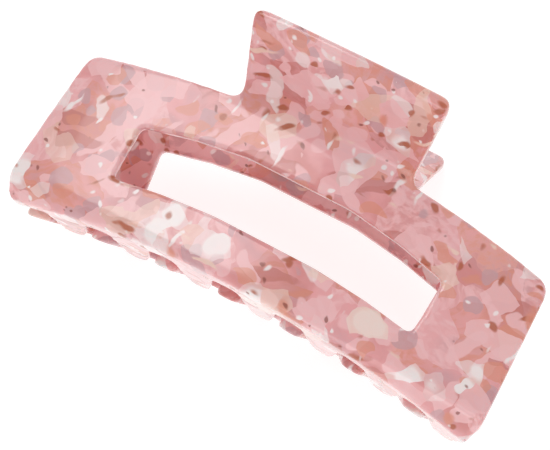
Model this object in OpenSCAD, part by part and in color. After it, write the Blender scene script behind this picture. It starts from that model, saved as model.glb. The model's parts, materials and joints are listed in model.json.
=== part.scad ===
// Claw clip for hair: two toothed jaws, hinged behind the finger tabs and sprung shut.
// Millimetres. X runs along the clip, Y points to the finger tabs, Z is up.
// The clip lies closed on the outside of its rear jaw.

/* [Jaws] */
// Length of the clip from end to end
clip_length = 110; // [90:1:130]
// Thickness of the plastic
plate = 3; // [2:0.1:4]
// Height of a jaw face from the root of the tab to the fold
face_height = 36.9; // [28:0.1:44]
// Radius of the face in plan
face_radius = 282; // [200:1:400]
// Lean of the face, in degrees
face_tilt = 14; // [8:0.5:20]
// Distance between the two outer faces at the roots of the tabs
jaw_gap = 21; // [18:0.5:28]
// Radius of the arched top edge
top_arch = 252; // [180:1:400]
// Rounding of the outer corners
corner_round = 3.5; // [1:0.1:6]
// Rounding of the fold and of the end of the tab
edge_round = 1.4; // [0.8:0.1:1.4]

/* [Window] */
// Width of the window at mid height
window_width = 70.6; // [50:0.1:80]
// Top of the window below the root of the tab
window_top = 11.1; // [9:0.1:14]
// Bottom of the window below the root of the tab
window_bottom = 25.6; // [20:0.1:28]
// Rounding of the window corners
window_round = 1.2; // [0.5:0.1:4]
// Radius of the arched top of the window
window_top_arch = 130; // [120:1:400]
// Radius of the arched bottom of the window
window_bottom_arch = 205; // [120:1:400]

/* [Finger tab] */
// Width of the tab at its root
tab_root = 39.7; // [30:0.1:50]
// Width of the tab at its end
tab_end = 44.2; // [30:0.1:54]
// Length of the tab along its slope
tab_length = 22.8; // [15:0.1:30]
// Turn between the tab and the face, in degrees
tab_turn = 71.4; // [50:0.1:80]
// Radius of the bend under the tab
tab_bend = 5; // [2:0.5:8]
// Rounding of the corners of the tab
tab_round = 2.2; // [1:0.1:6]

/* [Teeth] */
// Number of teeth on each jaw
tooth_count = 7; // [5:1:9]
// Distance from tooth to tooth
tooth_pitch = 15.1; // [11:0.1:18]
// Width of a tooth at its root
tooth_root = 10; // [7:0.1:11]
// Width of a tooth at its tip
tooth_tip = 4.5; // [3:0.1:6]
// Depth of the solid band between the fold and the tooth roots
band_depth = 7.5; // [5:0.1:12]
// Reach of the tips past the middle of the clip
tooth_reach = 4; // [2:0.1:6]
// Slope of the slanted edge under the fold, in degrees
slant = 50; // [30:1:70]
// Rounding of the tips and roots of the teeth
tooth_round = 2; // [1:0.1:2]
// Fall of the teeth towards their tips, in degrees
tooth_fall = 6; // [0:0.5:10]
// Radius of the arched row of teeth
tooth_arch = 312; // [250:1:600]

/* [Hinge] */
// Height of the hinge axis below the roots of the tabs
hinge_drop = 5; // [3:0.1:7]
// Width of a bracket
bracket_width = 24; // [20:0.5:30]
// Sheet thickness of a bracket
bracket_sheet = 0.8; // [0.6:0.1:1]
// Radius of the bracket ears
ear_radius = 2.6; // [2.4:0.1:3]
// Thickness of an ear
ear_sheet = 1; // [0.8:0.1:1.2]
// Radius of the hinge pin
pin_radius = 1.1; // [0.9:0.05:1.3]
// Radius of the heads of the hinge pin
head_radius = 1.9; // [1.6:0.1:2.4]
// Thickness of the heads of the hinge pin
head_sheet = 0.8; // [0.6:0.1:1]
// Radius of the pins that hold a bracket in the plastic
stud_radius = 0.9; // [0.7:0.1:1]

/* [Spring] */
// Wire diameter
wire = 0.8; // [0.6:0.05:1]
// Mean radius of the coil
coil_radius = 2; // [1.8:0.1:2.2]
// Number of turns
coil_turns = 12; // [6:1:14]
// Length of a leg
leg_length = 16.2; // [10:0.1:18]

/* [Hidden] */
$fn = 48;
middle = jaw_gap / 2;
hinge = [0, middle, -hinge_drop];
ear_centre = [
    middle * cos(face_tilt) + hinge_drop * sin(face_tilt),
    middle * sin(face_tilt) - hinge_drop * cos(face_tilt)
];
through = 120;
running = 0.05;
ear_gap = 0.3;
ear_outer = 10.3;
ear_inner = ear_outer - ear_sheet - ear_gap;
stud_x = 6;
stud_s = -5.6;
stud_depth = 1.6;
stud_head = 0.6;
stud_head_foot = 1.4;
stud_head_top = 1;
half_sweep = 14;
face_flare = 0.038;
flare_end = 12;
belly_s = 24;
belly_out = 0.62;
crease_out = 0.48;
slant_length = 11;
end_foot = 9;
end_corner = 39.5;
root_round = 2.5;
fold_under = 1.1;
plate_top = -4;
plate_foot = -7.2;
tab_angle = tab_turn - atan(face_flare);
tab_step = tab_length * [sin(tab_angle), cos(tab_angle)];
belly = [face_radius + belly_out, -belly_s];
crease = [face_radius + crease_out, -face_height];
slant_end = crease - slant_length * [cos(slant - face_tilt), sin(slant - face_tilt)];
outer_path = [
    [face_radius, 0] + tab_step,
    [face_radius, 0],
    [face_radius + flare_end * face_flare, -flare_end],
    belly,
    crease,
    slant_end
];
inner_path = offset_path(outer_path, plate);

// What the clip lies on: the rounded end of the rear tab and the rear fold, as [y, z].
tab_centre = rear_point(offset_path([outer_path[0], outer_path[1]], edge_round)[0]
    - edge_round * tab_step / tab_length);
fold_centre = rear_point(offset_path(outer_path, edge_round)[4]);
tab_rise = tab_centre[1] + edge_round;
fold_y = front_point(crease)[0];
fold_z = front_point(crease)[1] - fold_under;
section = rounded(concat(
    with_rounding(outer_path, [edge_round, tab_bend, 0, 0, edge_round, 0]),
    with_rounding(reverse(inner_path), [0, 0, 0, 0, tab_bend + plate, edge_round])
));
leg_lean = 1.4;
leg_angle = 90 + leg_lean + tab_angle - face_tilt;
coil_step = wire * 0.95;
rest_tilt = atan2(tab_centre[0] - fold_centre[0], tab_centre[1] - fold_centre[1]);
rest_turn = rest_tilt - 90;
rest_height = edge_round - tab_centre[0] * sin(rest_turn) - tab_centre[1] * cos(rest_turn);
rest_shift = 10.23;

function unit(v) = v / norm(v);

function side(p, q) = let (d = unit(q - p)) [d[1], -d[0]];

function offset_path(p, t) = [for (i = [0 : len(p) - 1])
    let (last = len(p) - 1)
    let (a = side(p[max(i - 1, 0)], p[max(i, 1)]))
    let (b = side(p[min(i, last - 1)], p[min(i + 1, last)]))
    p[i] + t * (a + b) / (1 + a * b)];

function reverse(p) = [for (i = [len(p) - 1 : -1 : 0]) p[i]];

// Right half of an outline followed by its mirror image.
function both_sides(p) = concat(p, [for (q = reverse(p)) [-q[0], q[1], q[2]]]);

// Rounds the corner b between a and c to the radius r.
function arc(a, b, c, r) =
    let (u = unit(a - b), v = unit(c - b), half = acos(u * v) / 2)
    let (centre = b + unit(u + v) * r / sin(half), sweep = 180 - 2 * half)
    let (w = b + u * r / tan(half) - centre, x = b + v * r / tan(half) - centre)
    [for (k = [0 : 6]) centre
        + (sin((1 - k / 6) * sweep) * w + sin(k / 6 * sweep) * x) / sin(sweep)];

// Closed outline from corners given as [x, y, rounding].
function rounded(p) = [for (i = [0 : len(p) - 1])
    let (a = p[(i + len(p) - 1) % len(p)], b = p[i], c = p[(i + 1) % len(p)])
    each (b[2] == 0 ? [[b[0], b[1]]]
        : arc([a[0], a[1]], [b[0], b[1]], [c[0], c[1]], b[2]))];

function with_rounding(p, r) = [for (i = [0 : len(p) - 1]) [p[i][0], p[i][1], r[i]]];

// Point of the jaw section turned into the upright clip, as [y, z].
function front_point(p) = [
    (face_radius - p[0]) * cos(face_tilt) + p[1] * sin(face_tilt),
    (p[0] - face_radius) * sin(face_tilt) + p[1] * cos(face_tilt)
];

function rear_point(p) = [jaw_gap - front_point(p)[0], front_point(p)[1]];

function arch_drop(x, r) = r - sqrt(r * r - x * x);

// Depth of the surface d under the outer face, in the leaning frame of the face.
function face_y(x, s, d) = face_radius
    - sqrt(pow(face_radius - s * face_flare - d, 2) - x * x);

module in_face() {
    rotate([-face_tilt, 0, 0])
        children();
}

module revolved(section) {
    in_face()
        translate([0, face_radius, 0])
            rotate([0, 0, -90 - half_sweep])
                rotate_extrude(angle = 2 * half_sweep, $fn = 360)
                    polygon(section);
}

module through_face(outline) {
    translate([0, through / 2, 0])
        rotate([90, 0, 0])
            linear_extrude(height = through)
                polygon(outline);
}

module turned_round() {
    translate([0, jaw_gap, 0])
        rotate([0, 0, 180])
            children();
}

// Lays the upright clip down on its rear jaw.
module at_rest() {
    translate([0, rest_shift, rest_height])
        rotate([rest_turn, 0, 0])
            children();
}

module face_outline() {
    half = clip_length / 2;
    through_face(rounded(both_sides([
        [half - end_foot, -end_corner - 12.5, 0],
        [half + 0.2, -end_corner, 5],
        [half, -arch_drop(half, top_arch), corner_round],
        [45, -arch_drop(45, top_arch), 0],
        [35, -arch_drop(35, top_arch), 0],
        [26, -arch_drop(26, top_arch), 0],
        [tab_root / 2, -arch_drop(tab_root / 2, top_arch), root_round],
        [tab_end / 2, tab_rise, tab_round]
    ])));
}

module window_outline() {
    half = window_width / 2;
    through_face(rounded(both_sides([
        [12, -window_bottom - arch_drop(12, window_bottom_arch), 0],
        [24, -window_bottom - arch_drop(24, window_bottom_arch), 0],
        [half - 0.6, -window_bottom - arch_drop(half, window_bottom_arch), window_round],
        [half + 0.1, -window_top - arch_drop(half, window_top_arch), window_round],
        [24, -window_top - arch_drop(24, window_top_arch), 0],
        [12, -window_top - arch_drop(12, window_top_arch), 0]
    ])));
}

// Everything under the arched row of teeth, or up to its top side.
module under_arch(rise) {
    translate([0, fold_y, fold_z])
        rotate([-tooth_fall, 0, 0])
            translate([0, 0, -tooth_arch])
                rotate([90, 0, 0])
                    cylinder(r = tooth_arch + rise, h = through, center = true, $fn = 720);
}

module comb_outline() {
    half = clip_length / 2;
    first = tooth_pitch / 4 - (tooth_count + 1) / 2 * tooth_pitch;
    tip = middle + tooth_reach;
    teeth = [for (i = [1 : tooth_count])
        let (x = first + i * tooth_pitch, root = fold_y + band_depth + x * x / 2 / face_radius)
        each [
            [x - tooth_root / 2, root, tooth_round],
            [x - tooth_tip / 2, tip, tooth_round],
            [x + tooth_tip / 2, tip, tooth_round],
            [min(x + tooth_root / 2, half - 0.5), root, i < tooth_count ? tooth_round : 0]
        ]];
    translate([0, 0, -60])
        linear_extrude(height = 60)
            polygon(rounded(concat(
                [[-half, -16, 0], [-half, 0.5, root_round]],
                teeth,
                [[half, -16, 0]]
            )));
}

module comb() {
    intersection() {
        under_arch(plate);
        comb_outline();
        revolved(rounded(with_rounding(
            [belly, crease, slant_end, slant_end - [40, 0], belly - [50, 0]],
            [0, edge_round, 0, 0, 0]
        )));
    }
}

module stud_place(way) {
    in_face()
        translate([way * stud_x, face_y(stud_x, stud_s, plate), stud_s])
            rotate([-90, 0, 0])
                children();
}

module jaw() {
    difference() {
        union() {
            intersection() {
                revolved(section);
                face_outline();
            }
            comb();
        }
        window_outline();
        under_arch(0);
        for (way = [-1, 1])
            stud_place(way)
                translate([0, 0, -stud_depth])
                    cylinder(r = stud_radius, h = stud_depth + 1);
    }
}

module ear(x, hole) {
    top = [plate + 0.4, plate_top];
    foot = [plate + 0.1, plate_foot];
    along = unit(ear_centre - (top + foot) / 2);
    across = [-along[1], along[0]] * ear_radius * 0.9;
    translate([x, 0, 0])
        rotate([90, 0, 90])
            difference() {
                linear_extrude(height = ear_sheet)
                    union() {
                        translate(ear_centre)
                            circle(r = ear_radius);
                        polygon([top, foot, ear_centre - across, ear_centre + across]);
                    }
                translate([ear_centre[0], ear_centre[1], -1])
                    cylinder(r = hole, h = ear_sheet + 2);
            }
}

// Curved plate of a bracket against the inside of a jaw.
module bracket_plate() {
    back = face_y(0, plate_top, plate);
    in_face()
        intersection() {
            translate([0, face_radius, plate_foot])
                difference() {
                    cylinder(r = face_radius - back, h = plate_top - plate_foot, $fn = 720);
                    translate([0, 0, -1])
                        cylinder(r = face_radius - back - bracket_sheet, h = 20, $fn = 720);
                }
            cube([bracket_width, 60, 60], center = true);
        }
}

module bracket(hole) {
    difference() {
        union() {
            bracket_plate();
            in_face() {
                ear(ear_outer, hole);
                ear(-ear_inner - ear_sheet, hole);
            }
        }
        for (way = [-1, 1])
            stud_place(way)
                cylinder(r = stud_radius, h = 4, center = true);
    }
}

module studs() {
    for (way = [-1, 1])
        stud_place(way) {
            translate([0, 0, -stud_depth])
                cylinder(r = stud_radius, h = stud_depth + bracket_sheet);
            translate([0, 0, bracket_sheet])
                cylinder(r1 = stud_head_foot, r2 = stud_head_top, h = stud_head);
        }
}

module coil() {
    rotate([0, 90, 0])
        rotate_extrude($fn = 36)
            for (i = [0 : coil_turns - 1])
                translate([coil_radius, (i - (coil_turns - 1) / 2) * coil_step])
                    circle(d = wire, $fn = 14);
}

// Spring leg that bears on the inside of the front tab.
module leg() {
    rotate([leg_angle, 0, 0])
        translate([-(coil_turns - 1) / 2 * coil_step, 0, -coil_radius])
            rotate([-90, 0, 0])
                cylinder(d = wire, h = leg_length);
}

module front_jaw() {
    color("pink")
        at_rest()
            jaw();
}

module rear_jaw() {
    color("lightpink")
        at_rest()
            turned_round()
                jaw();
}

module front_bracket() {
    color("silver")
        at_rest()
            bracket(pin_radius + running);
}

module rear_bracket() {
    color("silver")
        at_rest()
            turned_round()
                bracket(pin_radius);
}

module hinge_pin() {
    shaft = 2 * (ear_outer + ear_sheet + ear_gap);
    color("gray")
        at_rest()
            translate(hinge)
                rotate([0, 90, 0]) {
                    cylinder(r = pin_radius, h = shaft, center = true);
                    for (way = [-1, 1])
                        translate([0, 0, way * (shaft + head_sheet) / 2])
                            cylinder(r = head_radius, h = head_sheet, center = true);
                }
}

module torsion_spring() {
    color("gold")
        at_rest()
            translate(hinge) {
                coil();
                leg();
                rotate([0, 0, 180])
                    leg();
            }
}

module front_studs() {
    color("gray")
        at_rest()
            studs();
}

module rear_studs() {
    color("gray")
        at_rest()
            turned_round()
                studs();
}

front_jaw();
rear_jaw();
front_bracket();
rear_bracket();
hinge_pin();
torsion_spring();
front_studs();
rear_studs();
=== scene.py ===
"""Marbled claw clip: its looks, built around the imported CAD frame."""

import json
import math

import bpy
from mathutils import Matrix, Vector


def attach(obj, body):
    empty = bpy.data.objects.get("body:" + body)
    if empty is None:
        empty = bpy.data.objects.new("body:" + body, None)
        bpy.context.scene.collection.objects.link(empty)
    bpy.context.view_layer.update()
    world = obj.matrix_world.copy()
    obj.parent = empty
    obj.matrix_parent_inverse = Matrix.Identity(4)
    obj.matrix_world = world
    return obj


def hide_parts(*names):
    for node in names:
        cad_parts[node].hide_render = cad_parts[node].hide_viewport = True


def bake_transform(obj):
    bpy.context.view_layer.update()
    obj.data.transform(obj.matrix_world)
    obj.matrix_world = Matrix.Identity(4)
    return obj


MM = 0.001

# The upright clip has x along it, y towards the rear jaw and z up, with its zero at the
# root of the front tab. It lies on its rear jaw, turned by REST_TURN about the hinge.
REST_TURN = math.radians(-79.63)
HINGE_UPRIGHT = Vector((0, 10.5, -5)) * MM

# Camera, in the upright clip, in millimetres.
CAMERA_AT = (45.8, -268.1, -47.1)
CAMERA_AIM = (-0.9, 1.7, -21.1)
CAMERA_ROLL = math.radians(28.3)
CAMERA_LENS = 86.4

# Voxel size in millimetres and number of smoothing passes of each kind of piece.
JAW_SKIN = (0.42, 20)
BRACKET_SKIN = (0.13, 3)
STUD_SKIN = (0.09, 3)

# Half the side of the floor, in metres.
FLOOR_REACH = 2

# Hinge, in millimetres.
PIN_R = 1.1
PIN_HALF = 11.6
HEAD_R = 1.9
HEAD_T = 0.8
HEAD_EDGE = 0.15
WIRE = 0.8
COIL_R = 2.0
COIL_TURNS = 12
COIL_STEP = WIRE * 0.95
LEG_LENGTH = 16.2
LEG_TURN = math.radians(146.6)
STEPS_PER_TURN = 28

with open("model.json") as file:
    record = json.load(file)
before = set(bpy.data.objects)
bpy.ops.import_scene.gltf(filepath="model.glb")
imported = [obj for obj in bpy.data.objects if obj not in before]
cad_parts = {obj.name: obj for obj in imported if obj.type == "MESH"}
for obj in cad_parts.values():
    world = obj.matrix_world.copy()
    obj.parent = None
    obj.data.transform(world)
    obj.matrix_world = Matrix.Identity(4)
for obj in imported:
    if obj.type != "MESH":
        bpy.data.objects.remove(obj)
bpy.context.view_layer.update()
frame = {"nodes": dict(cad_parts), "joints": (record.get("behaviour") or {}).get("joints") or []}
HINGE = Vector(frame["joints"][0]["pos_m"])
TURN = Matrix.Rotation(REST_TURN, 4, "X")


def placed(point):
    """A point of the upright clip, in metres, where it is in the row frame."""
    return HINGE + TURN.to_3x3() @ (Vector(point) - HINGE_UPRIGHT)


def new_object(name, verts, faces):
    mesh = bpy.data.meshes.new(name)
    mesh.from_pydata(verts, [], faces)
    mesh.update()
    obj = bpy.data.objects.new(name, mesh)
    bpy.context.scene.collection.objects.link(obj)
    for poly in mesh.polygons:
        poly.use_smooth = True
    return obj


def apply_modifiers(obj):
    graph = bpy.context.evaluated_depsgraph_get()
    done = bpy.data.meshes.new_from_object(obj.evaluated_get(graph))
    obj.modifiers.clear()
    obj.data = done
    for poly in done.polygons:
        poly.use_smooth = True


def softened(node, voxel, passes):
    """A fine copy of a CAD node with its edges worn round."""
    obj = bpy.data.objects.new(node + "_skin", frame["nodes"][node].data.copy())
    bpy.context.scene.collection.objects.link(obj)
    obj.data.materials.clear()
    remesh = obj.modifiers.new("fine", "REMESH")
    remesh.mode = "VOXEL"
    remesh.voxel_size = voxel * MM
    remesh.adaptivity = 0
    smooth = obj.modifiers.new("worn", "SMOOTH")
    smooth.factor = 0.5
    smooth.iterations = passes
    apply_modifiers(obj)
    return obj


def lathe(name, profile, steps=48):
    """Turns [(along, radius), ...] about the x axis."""
    verts, faces = [], []
    for along, radius in profile:
        for k in range(steps):
            a = 2 * math.pi * k / steps
            verts.append((along * MM, radius * math.cos(a) * MM, radius * math.sin(a) * MM))
    for i in range(len(profile) - 1):
        for k in range(steps):
            n = (k + 1) % steps
            faces.append((i * steps + k, i * steps + n, (i + 1) * steps + n, (i + 1) * steps + k))
    faces.append(tuple(reversed(range(steps))))
    faces.append(tuple(range((len(profile) - 1) * steps, len(profile) * steps)))
    return new_object(name, verts, faces)


def tube(name, path, radius, sides=16):
    """A round wire along a path of points, in metres."""
    verts, faces = [], []
    normal = None
    for i, p in enumerate(path):
        ahead = (path[min(i + 1, len(path) - 1)] - path[max(i - 1, 0)]).normalized()
        if normal is None:
            normal = ahead.orthogonal().normalized()
        normal = (normal - ahead * normal.dot(ahead)).normalized()
        across = ahead.cross(normal)
        for k in range(sides):
            a = 2 * math.pi * k / sides
            verts.append(p + (normal * math.cos(a) + across * math.sin(a)) * radius)
    for i in range(len(path) - 1):
        for k in range(sides):
            n = (k + 1) % sides
            faces.append((i * sides + k, i * sides + n, (i + 1) * sides + n, (i + 1) * sides + k))
    faces.append(tuple(reversed(range(sides))))
    faces.append(tuple(range((len(path) - 1) * sides, len(path) * sides)))
    return new_object(name, verts, faces)


# Materials


class Nodes:
    """A short way to write shader node trees."""

    def __init__(self, name):
        self.material = bpy.data.materials.new(name)
        self.material.use_nodes = True
        self.tree = self.material.node_tree
        self.shader = self.tree.nodes["Principled BSDF"]

    def add(self, kind, inputs=None, **settings):
        node = self.tree.nodes.new(kind)
        for key, value in settings.items():
            setattr(node, key, value)
        for key, value in (inputs or {}).items():
            self.put(node.inputs[key], value)
        return node

    def put(self, socket, value):
        if isinstance(value, bpy.types.NodeSocket):
            self.tree.links.new(value, socket)
        else:
            socket.default_value = value

    def mix(self, factor, below, above):
        node = self.add("ShaderNodeMix", data_type="RGBA")
        self.put(node.inputs[0], factor)
        self.put(node.inputs[6], below)
        self.put(node.inputs[7], above)
        return node.outputs[2]

    def math(self, operation, a, b=0.0):
        node = self.add("ShaderNodeMath", operation=operation)
        self.put(node.inputs[0], a)
        self.put(node.inputs[1], b)
        return node.outputs[0]

    def steps(self, value, low, high):
        """0 below low and 1 above high, eased between."""
        node = self.add("ShaderNodeMapRange", {0: value, 1: low, 2: high},
                        interpolation_type="SMOOTHSTEP")
        return node.outputs[0]

    def noise(self, where, scale, detail=3.0, distortion=0.0):
        return self.add("ShaderNodeTexNoise", {
            "Vector": where, "Scale": scale, "Detail": detail, "Distortion": distortion})

    def cells(self, where, scale):
        return self.add("ShaderNodeTexVoronoi", {
            "Vector": where, "Scale": scale, "Randomness": 1.0})

    def warped(self, where, scale, amount):
        """Coordinates pushed about by a noise, amount in millimetres."""
        noise = self.noise(where, scale, 2.0)
        centred = self.add("ShaderNodeVectorMath", {0: noise.outputs["Color"], 1: (0.5,) * 3},
                           operation="SUBTRACT")
        moved = self.add("ShaderNodeVectorMath", {0: centred.outputs[0], "Scale": amount * MM},
                         operation="SCALE")
        return self.add("ShaderNodeVectorMath", {0: where, 1: moved.outputs[0]},
                        operation="ADD").outputs[0]


ROSE = (0.73, 0.29, 0.28, 1)
DEEP_ROSE = (0.60, 0.20, 0.18, 1)
PINK = (0.86, 0.41, 0.42, 1)
BLUSH = (0.93, 0.55, 0.56, 1)
LILAC = (0.63, 0.37, 0.40, 1)
PEARL = (0.97, 0.87, 0.86, 1)
CREAM = (0.92, 0.66, 0.56, 1)
RUST = (0.48, 0.11, 0.04, 1)
BROWN = (0.26, 0.05, 0.03, 1)
SALMON = (0.78, 0.31, 0.22, 1)

# Flakes: colour channel that picks them, where the pick starts and ends, tint, strength.
FLAKES = (
    (0, 0.50, 0.52, BLUSH, 0.90),
    (2, 0.70, 0.74, DEEP_ROSE, 0.65),
    (1, 0.76, 0.80, SALMON, 0.70),
)
# Blades: direction, share of the cells that hold one, tint, strength.
BLADES = (
    (0.5, 0.30, BLUSH, 0.85),
    (1.4, 0.20, DEEP_ROSE, 0.7),
    (2.5, 0.28, BLUSH, 0.85),
    (3.6, 0.22, LILAC, 0.75),
    (4.4, 0.18, SALMON, 0.7),
    (5.6, 0.14, PEARL, 0.6),
)
# Strokes: direction, cells per metre across and along, share, tint, strength.
STROKES = (
    (0.9, 520.0, 105.0, 0.06, RUST, 0.90),
    (2.1, 480.0, 95.0, 0.06, RUST, 0.85),
    (3.3, 420.0, 130.0, 0.05, RUST, 0.85),
    (5.8, 260.0, 110.0, 0.09, SALMON, 0.80),
    (0.2, 620.0, 85.0, 0.07, PEARL, 0.90),
    (1.8, 560.0, 90.0, 0.07, CREAM, 0.90),
    (3.9, 620.0, 95.0, 0.06, PEARL, 0.90),
    (2.8, 760.0, 95.0, 0.05, BROWN, 0.75),
)


def stretched(n, where, angle, across, along):
    """Coordinates turned by an angle and drawn out one way, in cells per metre."""
    turned = n.add("ShaderNodeVectorRotate", {"Vector": where, "Angle": angle,
                                              "Axis": (0.25, 0.45, 0.86)})
    return n.add("ShaderNodeMapping", {"Vector": turned.outputs[0],
                                       "Scale": (across, along, across)}).outputs[0]


def dashes(n, where, angle, across, along, width, soft, share):
    """Strokes scattered one way, soft-edged or crisp: 1 on a stroke and 0 off it."""
    cells = n.cells(stretched(n, where, angle, across, along), 1.0)
    pick = n.add("ShaderNodeSeparateColor", {0: cells.outputs["Color"]}).outputs[0]
    core = n.steps(cells.outputs["Distance"], width * (1 - soft), width)
    return n.math("MULTIPLY", n.math("SUBTRACT", 1.0, core),
                  n.math("LESS_THAN", pick, share))


def marbled(name, offset):
    """Polished acetate: pink, with pearl flakes, rose shadows and rust strokes."""
    n = Nodes(name)
    place = n.add("ShaderNodeTexCoord").outputs["Object"]
    shifted = n.add("ShaderNodeVectorMath", {0: place, 1: offset}, operation="ADD").outputs[0]
    flow = n.warped(n.warped(shifted, 60.0, 9.0), 210.0, 2.2)
    curled = n.warped(shifted, 170.0, 3.5)

    # Cloudy ground, seen deep in the plastic.
    cloud = n.noise(flow, 75.0, 4.0).outputs["Fac"]
    colour = n.mix(n.steps(cloud, 0.36, 0.60), ROSE, PINK)
    drift = n.noise(flow, 55.0, 2.0, 0.8).outputs["Fac"]
    colour = n.mix(n.math("MULTIPLY", n.steps(drift, 0.50, 0.66), 0.6), colour, LILAC)

    # Large flakes, each with its own tint, laid on more strongly in streaks as a painted pearly
    # sheen.
    flakes = n.cells(flow, 105.0)
    pick = n.add("ShaderNodeSeparateColor", {0: flakes.outputs["Color"]}).outputs
    turn = n.math("MULTIPLY", pick[0], 2 * math.pi)
    sheen_streaks = n.noise(stretched(n, flow, turn, 700.0, 110.0), 1.0, 3.0, 0.4).outputs["Fac"]
    # Painted sheen: each flake's tint is strengthened along its streaks, standing in for the
    # shine of pearl.
    sheen = n.math("ADD", 0.25, n.math("MULTIPLY", n.steps(sheen_streaks, 0.36, 0.66), 0.75))
    for channel, low, high, tint, weight in FLAKES:
        cover = n.math("MULTIPLY", n.steps(pick[channel], low, high), weight)
        colour = n.mix(n.math("MULTIPLY", cover, sheen), colour, tint)

    # Long blades, some pale and some in shadow.
    for angle, share, tint, weight in BLADES:
        blade = dashes(n, curled, angle, 240.0, 62.0, 0.55, 0.12, share)
        colour = n.mix(n.math("MULTIPLY", blade, weight), colour, tint)

    # Broken pearl flakes, crisp on one side and fading on the other.
    shards = n.cells(n.warped(shifted, 150.0, 4.0), 175.0)
    shard = n.add("ShaderNodeSeparateColor", {0: shards.outputs["Color"]}).outputs
    fade = n.math("SUBTRACT", 1.0, n.steps(shards.outputs["Distance"], 0.30, 0.60))
    pearl = n.math("MULTIPLY", n.steps(shard[0], 0.88, 0.89), n.math("ADD", 0.45, fade))
    colour = n.mix(n.math("MINIMUM", pearl, 0.92), colour, PEARL)
    colour = n.mix(n.math("MULTIPLY", n.steps(shard[1], 0.90, 0.92), 0.55), colour, CREAM)
    colour = n.mix(n.math("MULTIPLY", n.steps(shard[2], 0.84, 0.85), 0.8), colour, BLUSH)

    # Fine strokes: rust blots and streaks, pale slivers, and a few dark slits.
    for angle, across, along, share, tint, weight in STROKES:
        stroke = dashes(n, curled, angle, across, along, 0.42, 0.5, share)
        colour = n.mix(n.math("MULTIPLY", stroke, weight), colour, tint)

    n.put(n.shader.inputs["Base Color"], colour)
    for socket, value in {
        "Roughness": 0.18, "IOR": 1.46, "Subsurface Weight": 0.25, "Subsurface Scale": 0.003,
        "Coat Weight": 0.5, "Coat Roughness": 0.05,
    }.items():
        n.shader.inputs[socket].default_value = value
    n.shader.inputs["Subsurface Radius"].default_value = (1.0, 0.45, 0.4)
    return n.material


def metal(name, colour, roughness):
    n = Nodes(name)
    n.shader.inputs["Base Color"].default_value = colour
    n.shader.inputs["Metallic"].default_value = 1.0
    place = n.add("ShaderNodeTexCoord").outputs["Object"]
    wear = n.noise(place, 400.0, 2.0).outputs["Fac"]
    span = n.add("ShaderNodeMapRange", {0: wear, 1: 0.3, 2: 0.7, 3: roughness * 0.8,
                                        4: roughness * 1.3})
    n.put(n.shader.inputs["Roughness"], span.outputs[0])
    return n.material


def plain(name, colour, roughness):
    n = Nodes(name)
    n.shader.inputs["Base Color"].default_value = colour
    n.shader.inputs["Roughness"].default_value = roughness
    return n.material


# Pieces


def finish_piece(obj, body, node, material):
    obj.data.materials.clear()
    obj.data.materials.append(material)
    if body:
        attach(obj, body)
    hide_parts(node)


def jaws():
    for node, body, offset in (("front_jaw", "front_half", (0.013, 0.021, 0.0)),
                               ("rear_jaw", "rear_half", (0.231, 0.047, 0.09))):
        jaw = softened(node, *JAW_SKIN)
        finish_piece(jaw, body, node, marbled(node + "_acetate", offset))


def hardware():
    plate = metal("nickel_plate", (0.80, 0.79, 0.77, 1), 0.16)
    for half in ("front", "rear"):
        bracket = softened(half + "_bracket", *BRACKET_SKIN)
        finish_piece(bracket, half + "_half", half + "_bracket", plate)
        studs = softened(half + "_studs", *STUD_SKIN)
        finish_piece(studs, half + "_half", half + "_studs", plate)
    end = PIN_HALF + HEAD_T
    side = [(PIN_HALF, PIN_R), (PIN_HALF, HEAD_R - HEAD_EDGE), (PIN_HALF + HEAD_EDGE, HEAD_R)]
    dome = [(PIN_HALF + HEAD_EDGE + (HEAD_T - HEAD_EDGE) * math.sin(t), HEAD_R * math.cos(t))
            for t in (math.radians(d) for d in range(10, 85, 8))]
    profile = side + dome + [(end, 0.05)]
    pin = lathe("pin_turned", [(-x, r) for x, r in reversed(profile)] + profile)
    pin.location = HINGE
    finish_piece(pin, "rear_half", "hinge_pin", plate)


def coil_path():
    """Front leg, close-wound turns and rear leg, about the hinge, in millimetres."""
    half = COIL_TURNS * COIL_STEP / 2 - WIRE / 2
    start = LEG_TURN - math.pi / 2
    turned = 2 * math.pi * COIL_TURNS + 2 * start - math.pi
    along = (math.cos(LEG_TURN), math.sin(LEG_TURN))
    first = (COIL_R * math.cos(start), COIL_R * math.sin(start))
    steps = STEPS_PER_TURN * COIL_TURNS
    path = [(-half, first[0] + along[0] * d, first[1] + along[1] * d)
            for d in (LEG_LENGTH, LEG_LENGTH * 0.5, 2.0, 0.8)]
    for k in range(steps + 1):
        a = start - turned * k / steps
        path.append((-half + 2 * half * k / steps, COIL_R * math.cos(a), COIL_R * math.sin(a)))
    last = path[-1]
    back = start - turned
    heading = (math.sin(back), -math.cos(back))
    path += [(half, last[1] + heading[0] * d, last[2] + heading[1] * d)
             for d in (0.8, 2.0, LEG_LENGTH * 0.5, LEG_LENGTH)]
    return path


def spring():
    path = [placed(HINGE_UPRIGHT + Vector(p) * MM) for p in coil_path()]
    wire = tube("spring_wire", path, WIRE * MM / 2)
    steel = metal("spring_steel", (0.62, 0.61, 0.59, 1), 0.24)
    finish_piece(wire, None, "torsion_spring", steel)
    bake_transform(wire)


# Stage


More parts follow.
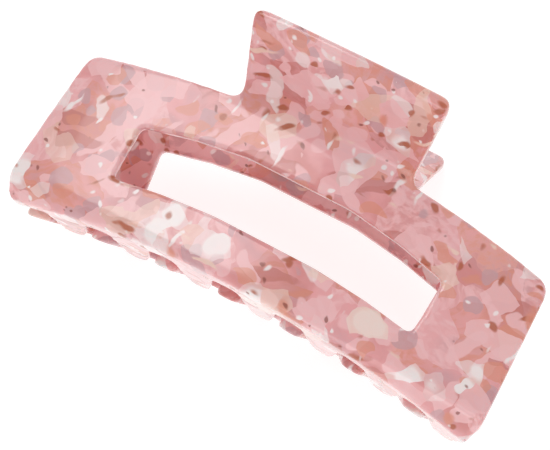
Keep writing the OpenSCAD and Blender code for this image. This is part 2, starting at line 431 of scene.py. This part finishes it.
def floor():
    r = FLOOR_REACH
    obj = new_object("floor", [(-r, -r, 0), (r, -r, 0), (r, r, 0), (-r, r, 0)], [(0, 1, 2, 3)])
    pale = plain("pale_floor", (0.42, 0.42, 0.42, 1), 0.7)
    shader = pale.node_tree.nodes["Principled BSDF"]
    shader.inputs["Emission Color"].default_value = (1, 1, 1, 1)
    shader.inputs["Emission Strength"].default_value = 0.75
    obj.data.materials.append(pale)


def area(name, at, size, power):
    data = bpy.data.lights.new(name, "AREA")
    data.shape = "DISK"
    data.size = size
    data.energy = power
    lamp = bpy.data.objects.new(name, data)
    lamp.location = at
    lamp.rotation_euler = (-Vector(at)).to_track_quat("-Z", "Y").to_euler()
    bpy.context.scene.collection.objects.link(lamp)


def lights():
    area("key", (-0.35, 0.35, 0.75), 0.5, 1.8)
    area("fill", (0.6, -0.5, 0.6), 0.7, 1.2)
    area("low", (0.1, -0.8, 0.25), 0.4, 0.6)
    world = bpy.data.worlds.new("studio")
    bpy.context.scene.world = world
    world.use_nodes = True
    world.node_tree.nodes["Background"].inputs["Color"].default_value = (1, 1, 1, 1)
    world.node_tree.nodes["Background"].inputs["Strength"].default_value = 0.55


def camera():
    at = Vector(CAMERA_AT) * MM
    ahead = (Vector(CAMERA_AIM) * MM - at).normalized()
    level = ahead.cross(Vector((0, 0, 1))).normalized()
    up = level.cross(ahead)
    right = level * math.cos(CAMERA_ROLL) + up * math.sin(CAMERA_ROLL)
    top = up * math.cos(CAMERA_ROLL) - level * math.sin(CAMERA_ROLL)
    basis = TURN.to_3x3() @ Matrix((right, top, -ahead)).transposed()
    data = bpy.data.cameras.new("camera")
    data.sensor_width = 36
    data.lens = CAMERA_LENS
    data.clip_start = 0.01
    eye = bpy.data.objects.new("camera", data)
    eye.matrix_world = Matrix.Translation(placed(at)) @ basis.to_4x4()
    bpy.context.scene.collection.objects.link(eye)
    bpy.context.scene.camera = eye


jaws()
hardware()
spring()
floor()
lights()
camera()
bpy.context.scene.view_settings.view_transform = "Standard"
